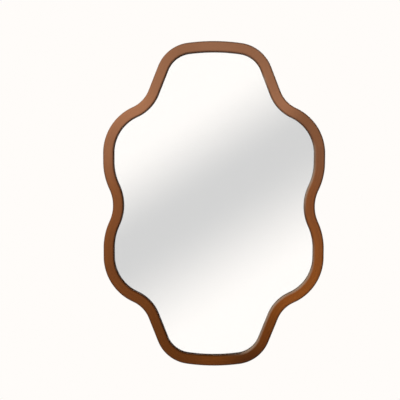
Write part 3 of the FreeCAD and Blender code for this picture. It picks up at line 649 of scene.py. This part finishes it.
camera_data = bpy.data.cameras.new("camera")
camera_data.sensor_width = SENSOR
camera_data.lens = SENSOR * DISTANCE / (PIXELS * SCALE)
camera_data.shift_x = SHIFT[0] / PIXELS
camera_data.shift_y = SHIFT[1] / PIXELS
camera_data.clip_start, camera_data.clip_end = NEAR, FAR
camera = bpy.data.objects.new("camera", camera_data)
bpy.context.scene.collection.objects.link(camera)
toward_camera = Vector((0.0, -math.cos(ELEVATION), math.sin(ELEVATION)))
level_view = (-toward_camera).to_track_quat("-Z", "Y")
camera.location = toward_camera * DISTANCE
camera.rotation_mode = "QUATERNION"
camera.rotation_quaternion = level_view @ Quaternion((0, 0, 1), ROLL)
bpy.context.scene.camera = camera

# ---------------------------------------------------------------- stage and light

PAPER = linear(255, 252, 249)           # the backdrop's white
GREY = linear(210, 210, 210)
AIR = (1.0, 0.99, 0.98, 1)              # the even light from all round
AMBIENT = 0.15
FLOOR_LEVEL = -1.3
FLOOR_SIZE = 24
FLOOR_FADE = (0.9, 2.1)                 # from the middle, where the floor turns into backdrop
FLOOR_LIFT = 0.45                       # how much of the backdrop's white the near floor has
CARD_AT = 3.0                           # in front of the wall
CARD_SIZE = (4.4, 2.6)
CARD_LIFT = 1.05
BAND_TILT = math.radians(33.0)
# the card's tones, and how far across the band each is, as seen in the wall plane
BAND = [(-0.262, PAPER), (-0.042, GREY), (-0.010, GREY), (0.272, PAPER)]


def seen_directly(n):
    """1 for camera, glossy and transmission rays, and 0 for the light that falls on the object.

    A ray that a matt surface has sent on lights the object, whatever kind it is by then.
    """
    path = n.add("ShaderNodeLightPath").outputs
    seen = n.maths("MAXIMUM", path["Is Camera Ray"], path["Is Glossy Ray"])
    seen = n.maths("MAXIMUM", seen, path["Is Transmission Ray"])
    return n.maths("MULTIPLY", seen, n.maths("LESS_THAN", path["Diffuse Depth"], 0.5))


def studio_air():
    """Paper white where it is seen, and a low even light on the object."""
    n = Nodes(bpy.data.worlds.new("studio"))
    n.tree.nodes.clear()
    paper = n.add("ShaderNodeBackground", Color=PAPER)
    air = n.add("ShaderNodeBackground", Color=AIR, Strength=AMBIENT)
    chosen = n.mix_shaders(seen_directly(n), air, paper)
    out = n.add("ShaderNodeOutputWorld")
    n.put(out.inputs["Surface"], chosen.outputs[0])
    return n.owner


def floor_paper():
    """Pale paper that takes the shadow near the object and runs into the backdrop's tone."""
    n = material("floor_paper")
    n.set(Base_Color=(0.80, 0.79, 0.775, 1), Roughness=0.9, Specular_IOR_Level=0.1)
    seen = seen_directly(n)
    lift = n.add("ShaderNodeEmission", Color=PAPER, Strength=n.maths("MULTIPLY", seen, FLOOR_LIFT))
    near = n.add("ShaderNodeAddShader")
    n.put(near.inputs[0], n.shader.outputs[0])
    n.put(near.inputs[1], lift.outputs[0])
    far = n.add("ShaderNodeEmission", Color=PAPER, Strength=1.0)
    away = n.add("ShaderNodeVectorMath", operation="LENGTH", Vector=n.position())
    fade = n.maths("MULTIPLY", n.spread(away.outputs["Value"], *FLOOR_FADE), seen)
    n.end(n.mix_shaders(fade, near, far))
    return n.owner


def card_paper(enlarged):
    """White paper with one soft grey band along its local X."""
    n = material("card")
    n.tree.nodes.remove(n.shader)
    first, last = BAND[0][0], BAND[-1][0]
    across = n.split(n.position())[1]
    share = n.spread(across, first * enlarged, last * enlarged, shape="LINEAR")
    ramp = n.add("ShaderNodeValToRGB", Fac=share)
    ramp.color_ramp.interpolation = "EASE"
    stops = ramp.color_ramp.elements
    while len(stops) < len(BAND):
        stops.new(0.5)
    for stop, (at, tone) in zip(stops, BAND):
        stop.position = (at - first) / (last - first)
        stop.color = tone
    glow = n.maths("MULTIPLY", seen_directly(n), CARD_LIFT)
    n.end(n.add("ShaderNodeEmission", Color=ramp.outputs["Color"], Strength=glow))
    return n.owner


def stage_plane(name, width, height, matrix, finish):
    mesh = bpy.data.meshes.new(name)
    w, h = width / 2, height / 2
    mesh.from_pydata([(-w, -h, 0), (w, -h, 0), (w, h, 0), (-w, h, 0)], [], [(0, 1, 2, 3)])
    mesh.materials.append(finish)
    plane = bpy.data.objects.new(name, mesh)
    bpy.context.scene.collection.objects.link(plane)
    plane.matrix_world = matrix
    return plane


def softbox(name, at, width, height, power, tint, glossy):
    """A rectangular lamp that points at the middle of the mirror and isn't seen itself."""
    light = bpy.data.lights.new(name, "AREA")
    light.shape = "RECTANGLE"
    light.size, light.size_y = width, height
    light.energy = power
    light.color = tint
    lamp = bpy.data.objects.new(name, light)
    bpy.context.scene.collection.objects.link(lamp)
    lamp.location = at
    lamp.rotation_mode = "QUATERNION"
    lamp.rotation_quaternion = (-Vector(at)).to_track_quat("-Z", "Y")
    lamp.visible_camera = False
    lamp.visible_transmission = False
    lamp.visible_glossy = glossy


bpy.context.scene.world = studio_air()
floor_place = Matrix.Translation((0, 0, FLOOR_LEVEL))
stage_plane("floor", FLOOR_SIZE, FLOOR_SIZE, floor_place, floor_paper())

# a card behind the camera: what the mirror shows. Its local X runs along the band and its
# local Y across it, down to the right, and it faces the mirror
eye = camera.location
enlarged = (CARD_AT - eye.y) / -eye.y   # wall plane to card, from the camera's image in the mirror
along = Vector((math.cos(BAND_TILT), 0, math.sin(BAND_TILT)))
across = Vector((math.sin(BAND_TILT), 0, -math.cos(BAND_TILT)))
turn = Matrix((along, across, along.cross(across))).transposed().to_4x4()
middle = Matrix.Translation((0, -CARD_AT, eye.z * (1 - enlarged)))
card = stage_plane("card", *CARD_SIZE, middle @ turn, card_paper(enlarged))
card.visible_camera = False
card.visible_diffuse = False
card.visible_shadow = False

# a lamp's name, place, width, height, watts and tint, and whether reflections show it: the two
# in front are kept out of them, or they put glare on the rail's walls and squares in the mirror
LAMPS = [
    ("key", (-1.30, -1.3, 1.00), 0.5, 0.5, 27, (1.0, 0.985, 0.965), False),
    ("strip", (-0.30, -1.6, 0.82), 1.1, 0.25, 27, (1.0, 0.99, 0.98), False),
    ("rear", (1.2, 2.2, 1.4), 1.2, 1.2, 50, (1.0, 0.99, 0.98), True),
]
for lamp in LAMPS:
    softbox(*lamp)

bpy.context.scene.view_settings.view_transform = "Standard"
